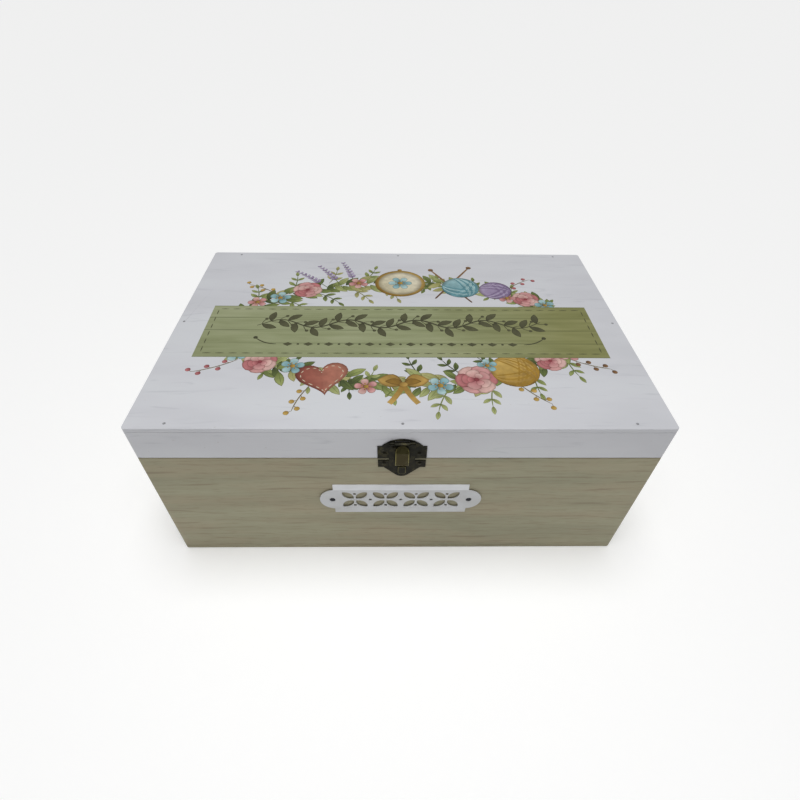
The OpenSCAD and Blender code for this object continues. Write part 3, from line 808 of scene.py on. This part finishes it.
def needle(at, turn, length, inks, level):
    """A knitting needle with a round knob at its upper end."""
    stroke(arc(at, turn, length, 0), 1.7, inks, level, 6, 0.3)
    stamp(round_form(2.1), inks, arc(at, turn, length, 0)(1), turn, level + 1, 12)


def hoop(at, radius, inks, level):
    """An embroidery hoop: a wooden ring round cream cloth, with a screw and a stitched blossom."""
    stamp(round_form(radius), inks, at, math.pi / 4, level, 40)
    stamp(round_form(0.86 * radius), CREAM_INK, at, math.pi / 4, level + 1, 40)
    stamp(round_form(1.9, 0.7), GOLD_INKS[1], (at[0], at[1] + radius + 1), 0, level + 1, 10)


def patch_heart(at, size, turn, inks, level):
    """A padded heart with a darker outline and a line of running stitches inside it."""

    def outline(angle):
        across = 16 * math.sin(angle) ** 3
        up = 13 * math.cos(angle) - 5 * math.cos(2 * angle) - 2 * math.cos(3 * angle) - math.cos(4 * angle)
        return across / 17, (up + 2.5) / 17

    def form(x, y):
        share = math.hypot(x, y)
        across, up = outline(math.pi / 2 - math.atan2(y, x))
        return size * share * across, size * share * up

    stamp(form, inks, at, turn, level, 36)
    for stitch in range(22):
        first, second = (outline(2 * math.pi * (stitch + part) / 22) for part in (0.15, 0.7))

        def path(t, first=first, second=second):
            across = 0.8 * size * (first[0] + (second[0] - first[0]) * t)
            up = 0.8 * size * (first[1] + (second[1] - first[1]) * t)
            return (
                at[0] + across * math.cos(turn) - up * math.sin(turn),
                at[1] + across * math.sin(turn) + up * math.cos(turn),
            )

        stroke(path, 0.6, CREAM_INK, level + 1, 2)


def bow(at, turn, size, inks, level):
    """A tied ribbon: two tails, two loops and the knot."""
    for side in (-1, 1):
        tail = arc(at, turn - math.pi / 2 + side * 0.3, 1.3 * size, side * 0.35)
        stroke(tail, 0.24 * size, inks, level, 10, 0.0)
        loop = leaf_form(1.15 * size, 0.85 * size, 0.12 * size * side)
        middle = turn + (0.25 if side > 0 else math.pi - 0.25)
        stamp(loop, inks, at, middle, level + 1, 18)
        inner = leaf_form(0.8 * size, 0.4 * size, 0.1 * size * side)
        stamp(inner, (inks[0], inks[0]), at, middle, level + 2, 14)
    stamp(round_form(0.2 * size, 0.8), inks, at, turn, level + 3, 12)


# The band's own ornament, in dark olive
BORDER_INSET = 4
STITCH = 5.2
STITCH_PITCH = 8.0
VINE_HALF = 96
VINE_WAVE = 46
VINE_RISE = 4.5
VINE_Y = -2
VINE_LEAVES = 34
ROW_Y = -25
ROW_COUNT = 23
ROW_PITCH = 6.6
BAND_LEVEL = 22

left, right = BAND_LEFT / MM + BORDER_INSET, BAND_RIGHT / MM - BORDER_INSET
front, back = BAND_FRONT / MM + BORDER_INSET, BAND_BACK / MM - BORDER_INSET
stitches = int((right - left) / STITCH_PITCH)
for number in range(stitches):
    start = left + (number + 0.5) * (right - left) / stitches - STITCH / 2
    for y in (front, back):
        stroke(arc((start, y), 0, STITCH, 0), 0.7, OLIVE_INK, BAND_LEVEL, 2)
side_stitches = int((back - front) / STITCH_PITCH)
for number in range(side_stitches):
    start = front + (number + 0.5) * (back - front) / side_stitches - STITCH / 2
    for x in (left, right):
        stroke(arc((x, start), math.pi / 2, STITCH, 0), 0.7, OLIVE_INK, BAND_LEVEL, 2)


def vine(t):
    """The waving stem of the band's vine."""
    x = VINE_HALF * (2 * t - 1)
    return (x, VINE_Y + VINE_RISE * math.sin(2 * math.pi * x / VINE_WAVE))


stroke(vine, 1.5, OLIVE_INK, BAND_LEVEL, 96)
for number in range(VINE_LEAVES):
    t = (number + 0.5) / VINE_LEAVES
    slope = math.atan(VINE_RISE * 2 * math.pi / VINE_WAVE * math.cos(2 * math.pi * vine(t)[0] / VINE_WAVE))
    side = 1 if number % 2 else -1
    form = leaf_form(11.5, 5.2, side * 0.6)
    stamp(form, OLIVE_LEAF_INK, vine(t), slope + side * 0.95, BAND_LEVEL + 1, 14)
    bud = arc(vine(t), slope - side * 0.9, 6.5, side * 0.5)
    stroke(bud, 0.6, OLIVE_INK, BAND_LEVEL, 4)
    stamp(round_form(1.25), OLIVE_LEAF_INK, bud(1), 0, BAND_LEVEL + 1, 10)

for number in range(ROW_COUNT):
    x = (number - (ROW_COUNT - 1) / 2) * ROW_PITCH
    if number % 2:
        stamp(round_form(0.9), OLIVE_INK, (x, ROW_Y), 0, BAND_LEVEL, 10)
    else:
        stamp(round_form(3.2, 0.62), OLIVE_LEAF_INK, (x, ROW_Y), 0, BAND_LEVEL, 4)
for side in (-1, 1):
    curl = arc((side * 80, ROW_Y), math.pi / 2 - side * math.pi / 2, 16, side * 0.9)
    stroke(curl, 1.0, OLIVE_INK, BAND_LEVEL, 10)
    stamp(round_form(1.5), OLIVE_INK, curl(1), 0, BAND_LEVEL + 1, 10)

# The wreath passes behind the ends of the band, and its leaves all grow towards the middle of the lid's
# front and back
WREATH_MIDDLE = (1, -6)
WREATH_HALF = (112, 58)
LEAF_STEP = 2.6
MOTIF_LEVEL = 8


def on_wreath(degrees, out=0.0):
    """A place on the wreath's oval, so many millimetres out from it, and the oval's heading there."""
    turn = math.radians(degrees)
    place = (
        WREATH_MIDDLE[0] + (WREATH_HALF[0] + out) * math.cos(turn),
        WREATH_MIDDLE[1] + (WREATH_HALF[1] + out) * math.sin(turn),
    )
    heading = math.atan2(WREATH_HALF[1] * math.cos(turn), -WREATH_HALF[0] * math.sin(turn))
    return place, heading


random.seed(11)
for first, last, flow in ((14, 90, 1), (166, 90, -1), (194, 270, 1), (346, 270, -1)):
    degrees = first
    number = 0
    while (last - degrees) * flow > 0:
        place, heading = on_wreath(degrees, random.uniform(-4, 4))
        ahead = heading if flow > 0 else heading + math.pi
        side = 1 if number % 2 else -1
        size = random.uniform(11, 15.5)
        spread = side * random.uniform(0.35, 1.0)
        leaf(place, ahead + spread, size, random.choice(LEAF_INKS), number % 12 * 0.5, side * 0.5)
        if number % 5 == 2:
            start, along = on_wreath(degrees, 6 * side)
            outwards = ahead + side * random.uniform(0.75, 1.0)
            sprig(start, outwards, random.uniform(15, 20), side * 0.4, 2, 8.5, random.choice(LEAF_INKS), 1)
        turn = math.radians(degrees)
        speed = math.hypot(WREATH_HALF[0] * math.sin(turn), WREATH_HALF[1] * math.cos(turn))
        degrees += flow * math.degrees(LEAF_STEP / speed)
        number += 1

for degrees, out, length, curl, inks in (
    (140, 6, 26, 0.5, GOLD_INKS[0]), (48, 6, 26, -0.5, ROSE_INKS[0]), (212, 8, 28, -0.4, ROSE_INKS[0]),
    (304, 8, 26, 0.4, GOLD_INKS[0]), (243, 9, 22, 0.4, GOLD_INKS[0]), (330, 8, 26, 0.4, BROWN_INK),
):
    place, heading = on_wreath(degrees, out)
    berries(place, math.radians(degrees) - 0.2 * curl, length, curl, 5, inks, MOTIF_LEVEL - 2)
for degrees, turn in ((118, 2.25), (113, 2.0), (108, 1.75)):
    lavender(on_wreath(degrees, -6)[0], turn, 40, LILAC_INKS, MOTIF_LEVEL - 2)
needle(on_wreath(74, -20)[0], 1.0, 54, BROWN_INK, MOTIF_LEVEL - 2)
needle(on_wreath(56, -20)[0], 2.1, 54, BROWN_INK, MOTIF_LEVEL - 1.6)
hoop(on_wreath(90)[0], 19, GOLD_INKS[0], MOTIF_LEVEL)
blossom(on_wreath(90)[0], 9, 6, TEAL_INKS, MOTIF_LEVEL + 3)
yarn_ball(on_wreath(66, -1)[0], 14, TEAL_INKS, MOTIF_LEVEL + 1, 0.4)
yarn_ball(on_wreath(52, 3)[0], 12, LILAC_INKS, MOTIF_LEVEL + 2, 1.4)
for degrees, out, radius, inks, turn in (
    (127, 2, 11, ROSE_INKS, 0.9), (37, 2, 10, ROSE_INKS, 0.3), (219, 1, 11, ROSE_INKS, 0.5),
    (293, 0, 13, ROSE_INKS, 0.1), (324, 2, 10, ROSE_INKS, 0.7),
):
    rose(on_wreath(degrees, out)[0], radius, inks, MOTIF_LEVEL, turn)
for degrees, out, radius, inks, turn in (
    (141, 0, 8, TEAL_INKS, 0.2), (151, 5, 7, ROSE_INKS[1:], 0.7), (106, 2, 7.5, ROSE_INKS[1:], 0.9),
    (27, 4, 7.5, TEAL_INKS, 0.5), (44, -4, 6.5, ROSE_INKS[1:], 1.2), (207, 5, 8, TEAL_INKS, 0.6),
    (231, -5, 7.5, TEAL_INKS, 0.2), (259, 3, 7, ROSE_INKS[1:], 0.5), (281, 2, 8, TEAL_INKS, 1.0),
    (301, -11, 6.5, TEAL_INKS, 0.4), (334, 6, 7.5, ROSE_INKS[1:], 0.1),
):
    blossom(on_wreath(degrees, out)[0], radius, 5, inks, MOTIF_LEVEL + 0.3, turn)
patch_heart(on_wreath(245, 1)[0], 17, 0.18, PATCH_INK, MOTIF_LEVEL)
yarn_ball(on_wreath(308, -1)[0], 15, GOLD_INKS, MOTIF_LEVEL, 0.9)
bow(on_wreath(270, 0)[0], 0.0, 14, GOLD_INKS[1], MOTIF_LEVEL + 1)


INK_THICK = "DDDDDD"
INK_THIN = "FFFFFF"
INK_POOLED = "6F5F45"


def watercolour(name):
    """Watercolour ink: pigment pools at the outline of each motif and thins in blots across it."""
    material, tree = new_material(name)
    place = add_node(tree, "ShaderNodeTexCoord").outputs["Object"]
    ink = add_node(tree, "ShaderNodeAttribute", {"attribute_name": "ink"}).outputs["Color"]
    rim = add_node(tree, "ShaderNodeAttribute", {"attribute_name": "rim"}).outputs["Fac"]
    blots = stretched_noise(tree, place, 5, 5, 3)
    thinned = ramp(tree, blots, ((0.3, INK_THICK), (0.7, INK_THIN)))
    colour = mixed(tree, ink, thinned, 1.0, "MULTIPLY")
    pooled = add_node(
        tree,
        "ShaderNodeMapRange",
        {"From Min": 0.78, "From Max": 1.0, "To Min": 0.0, "To Max": 0.7},
        {"Value": rim},
    )
    edge = mixed(tree, colour, INK_POOLED, 0.9, "MULTIPLY")
    outlined = mixed(tree, colour, edge, pooled.outputs["Result"])
    finish_material(tree, {"Roughness": 0.5, "IOR": 1.45}, {"Base Color": outlined})
    return material


bmesh.ops.recalc_face_normals(sheet, faces=sheet.faces)
upside_down = [face for face in sheet.faces if face.normal.z < 0]
bmesh.ops.reverse_faces(sheet, faces=upside_down)
add_piece("lid_print_wreath", sheet, [watercolour("printed_watercolour")], "lid", "white_painted_wood")

# Catch and hinges: pressed steel plated with bronze and blackened, then rubbed, so that the proud edges of
# the thumb piece and the tab show olive brass. Small round-headed brads hold the plates and the hinges.
METAL_EASE = 0.12 * MM
RUBBED_EASE = 0.3 * MM
BRONZE_DARK = "1A1A16"
BRONZE = "26251F"
BRONZE_WARM = "433F2C"
BRONZE_HANDLED = "39331F"
BRONZE_PALE = "5A5639"
BRASS_DULL = "6E6946"
BRASS_RUBBED = "9A925C"


def antique_bronze(name, tones, roughness):
    """Blackened bronze plating: dark and uneven, with a dull metallic gleam."""
    material, tree = new_material(name)
    place = add_node(tree, "ShaderNodeTexCoord").outputs["Object"]
    patina = stretched_noise(tree, place, 4, 4, 4, 0.5)
    grit = stretched_noise(tree, place, 0.8, 0.8, 2)
    tone = mixed(tree, patina, grit, 0.35)
    colour = ramp(tree, tone, ((0.35, tones[0]), (0.5, tones[1]), (0.68, tones[2])))
    bump = add_node(tree, "ShaderNodeBump", {"Strength": 0.2, "Distance": RELIEF / 2}, {"Height": patina})
    finish_material(
        tree,
        {"Metallic": 1.0, "Roughness": roughness},
        {"Base Color": colour, "Normal": bump.outputs["Normal"]},
    )
    return material


bronze = antique_bronze("blackened_bronze_plating", (BRONZE_DARK, BRONZE, BRONZE_WARM), 0.5)
handled = antique_bronze("handled_bronze", (BRONZE_WARM, BRONZE_HANDLED, BRONZE_HANDLED), 0.42)
# The slope's lighter bronze is partly handled wear and partly a painted sheen
slope_sheen = antique_bronze("bronze_slope_painted_sheen", (BRONZE_HANDLED, BRONZE_PALE, BRONZE_PALE), 0.4)
dulled = antique_bronze("dull_brass_edges", (BRONZE_HANDLED, BRASS_DULL, BRASS_DULL), 0.42)
rubbed = antique_bronze("rubbed_bronze_edges", (BRONZE_PALE, BRASS_RUBBED, BRASS_RUBBED), 0.38)
THUMB_OUT = 2.6 * MM
THUMB_HALF = 4.2 * MM
SLOPE_DROP = 6.5 * MM
TAB_OUT = 1.9 * MM
front_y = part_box("base_front_board")[0].y
slope_foot_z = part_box("catch_hasp")[1].z - SLOPE_DROP


def thumb_wear_and_sheen(place, is_edge):
    """The thumb piece is rubbed bare along its edges and handled on its face; its slope wears a lighter
    bronze, partly handled wear and partly a painted sheen where the slope catches the light.
    """
    if place.y > front_y - THUMB_OUT or abs(place.x) > THUMB_HALF:
        return 0
    if is_edge:
        return 2
    # Slope faces above the ledge get the lighter bronze, partly a painted sheen
    return 3 if place.z > slope_foot_z else 1


def tab_wear(place, is_edge):
    """The hasp rubs the tab's edges."""
    return 2 if is_edge and place.y < front_y - TAB_OUT else 0


for node in ("catch_lid_plate", "catch_hasp_pin"):
    eased_copy(node, [bronze], "lid", "antique_bronze", METAL_EASE)
eased_copy(
    "catch_base_plate", [bronze, handled, dulled], "base", "antique_bronze", METAL_EASE, tab_wear, RUBBED_EASE
)
eased_copy(
    "catch_hasp", [bronze, handled, rubbed, slope_sheen], "hasp", "antique_bronze", METAL_EASE, thumb_wear_and_sheen,
    RUBBED_EASE,
)
for side in ("left", "right"):
    eased_copy(f"hinge_{side}_lid_leaf", [bronze], "lid", "antique_bronze", METAL_EASE)
    eased_copy(f"hinge_{side}_base_leaf", [bronze], "base", "antique_bronze", METAL_EASE)
    eased_copy(f"hinge_{side}_pin", [bronze], "base", "antique_bronze", METAL_EASE)
dress_nodes(bronze, "catch_lid_brads", "catch_base_brads", "hinge_lid_brads", "hinge_base_brads")

# Front plate: sheet metal pierced with four plain flowers, folded at its long edges so that the middle
# stands proud of the wood, and stove-enamelled white. Two blackened nails hold it by its round ears.
PLATE_EASE = 0.12 * MM
NAIL_BLACK = "232326"
NAIL_GREY = "46464B"
ENAMEL_FACE = ("C3C4C5", "CBCDD0")
# The fold's lighter white is a painted highlight on the upward-facing upper border
ENAMEL_FOLD_HIGHLIGHT = ("DDDFE2", "E4E6EA")
UPPER_BORDER = 4.2 * MM
plate_top_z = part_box("front_plate")[1].z


def white_enamel(name, tones):
    """Stove enamel on sheet metal: smooth, half matt, with the faintest ripple."""
    material, tree = new_material(name)
    place = add_node(tree, "ShaderNodeTexCoord").outputs["Object"]
    ripple = stretched_noise(tree, place, 14, 9, 2)
    colour = ramp(tree, ripple, ((0.35, tones[0]), (0.6, tones[1])))
    bump = add_node(tree, "ShaderNodeBump", {"Strength": 0.1, "Distance": RELIEF}, {"Height": ripple})
    finish_material(
        tree, {"Roughness": 0.38}, {"Base Color": colour, "Normal": bump.outputs["Normal"]}
    )
    return material


def fold_painted_highlight(place, is_edge):
    """The upper border leans back to the wood and wears a lighter white than the face: a painted highlight,
    as it faces up into the light.
    """
    return 1 if place.z > plate_top_z - UPPER_BORDER else 0


# The second enamel is the same white painted lighter: a painted highlight on the upper border
enamels = [
    white_enamel("stove_enamelled_white", ENAMEL_FACE),
    white_enamel("stove_enamel_fold_painted_highlight", ENAMEL_FOLD_HIGHLIGHT),
]
eased_copy("front_plate", enamels, "base", "white_painted_metal", PLATE_EASE, fold_painted_highlight)
dress_nodes(dull_steel("blackened_nail_steel", NAIL_BLACK, NAIL_GREY), "front_plate_nails")

# Floor and light: a plain pale table, lit a little from within, under a broad soft lamp overhead, as in a
# small photo tent, and a weak lamp near the camera that lights the front edge of the lid the most. The pale
# backdrop shows behind the table and gives no light of its own.
FLOOR_SIDE = 16
FLOOR_PAINT = "FCFCFC"
FLOOR_GLOW = 0.1
SKY_STRENGTH = 0.14
OVERHEAD_STRENGTH = 2.15
OVERHEAD_WIDTH = math.radians(40)
OVERHEAD_LEAN = math.radians(0.5)
OVERHEAD_TINT = (0.98, 0.99, 1.0)
SKY_TINT = (1.0, 0.96, 0.9, 1.0)
BACKDROP = "E4E4E3"
NEAR_LAMP_PLACE = Vector((-0.01, -0.21, 0.47))
NEAR_LAMP_AIM = Vector((0.0, -0.08, 0.12))
NEAR_LAMP_SIDE = 0.15
NEAR_LAMP_WATTS = 0.23

bm = bmesh.new()
bmesh.ops.create_grid(bm, x_segments=1, y_segments=1, size=FLOOR_SIDE / 2)
floor_mesh = bpy.data.meshes.new("floor")
bm.to_mesh(floor_mesh)
bm.free()
floor = bpy.data.objects.new("floor", floor_mesh)
bpy.context.collection.objects.link(floor)
material, tree = new_material("matt_white_floor")
finish_material(
    tree,
    {
        "Base Color": linear(FLOOR_PAINT),
        "Roughness": 0.9,
        "Specular IOR Level": 0.1,
        "Emission Color": linear(FLOOR_PAINT),
        "Emission Strength": FLOOR_GLOW,
    },
    {},
)
floor_mesh.materials.append(material)

world = bpy.data.worlds.new("soft_sky")
world.use_nodes = True
tree = world.node_tree
tree.nodes.clear()
sky = add_node(tree, "ShaderNodeBackground", {"Color": SKY_TINT, "Strength": SKY_STRENGTH})
backdrop = add_node(tree, "ShaderNodeBackground", {"Color": linear(BACKDROP), "Strength": 1.0})
seen = add_node(tree, "ShaderNodeLightPath").outputs["Is Camera Ray"]
shown = add_node(
    tree, "ShaderNodeMixShader", links={0: seen, 1: sky.outputs[0], 2: backdrop.outputs[0]}
)
add_node(tree, "ShaderNodeOutputWorld", links={"Surface": shown.outputs[0]})
bpy.context.scene.world = world
bpy.context.scene.view_settings.view_transform = "Standard"

overhead = bpy.data.lights.new("overhead_lamp", "SUN")
overhead.energy = OVERHEAD_STRENGTH
overhead.color = OVERHEAD_TINT
overhead.angle = OVERHEAD_WIDTH
overhead_lamp = bpy.data.objects.new("overhead_lamp", overhead)
overhead_lamp.rotation_euler = (OVERHEAD_LEAN, 0, 0)
bpy.context.collection.objects.link(overhead_lamp)

near = bpy.data.lights.new("near_lamp", "AREA")
near.size = NEAR_LAMP_SIDE
near.energy = NEAR_LAMP_WATTS
near_lamp = bpy.data.objects.new("near_lamp", near)
near_lamp.location = NEAR_LAMP_PLACE
near_lamp.rotation_euler = (NEAR_LAMP_AIM - NEAR_LAMP_PLACE).to_track_quat("-Z", "Y").to_euler()
bpy.context.collection.objects.link(near_lamp)
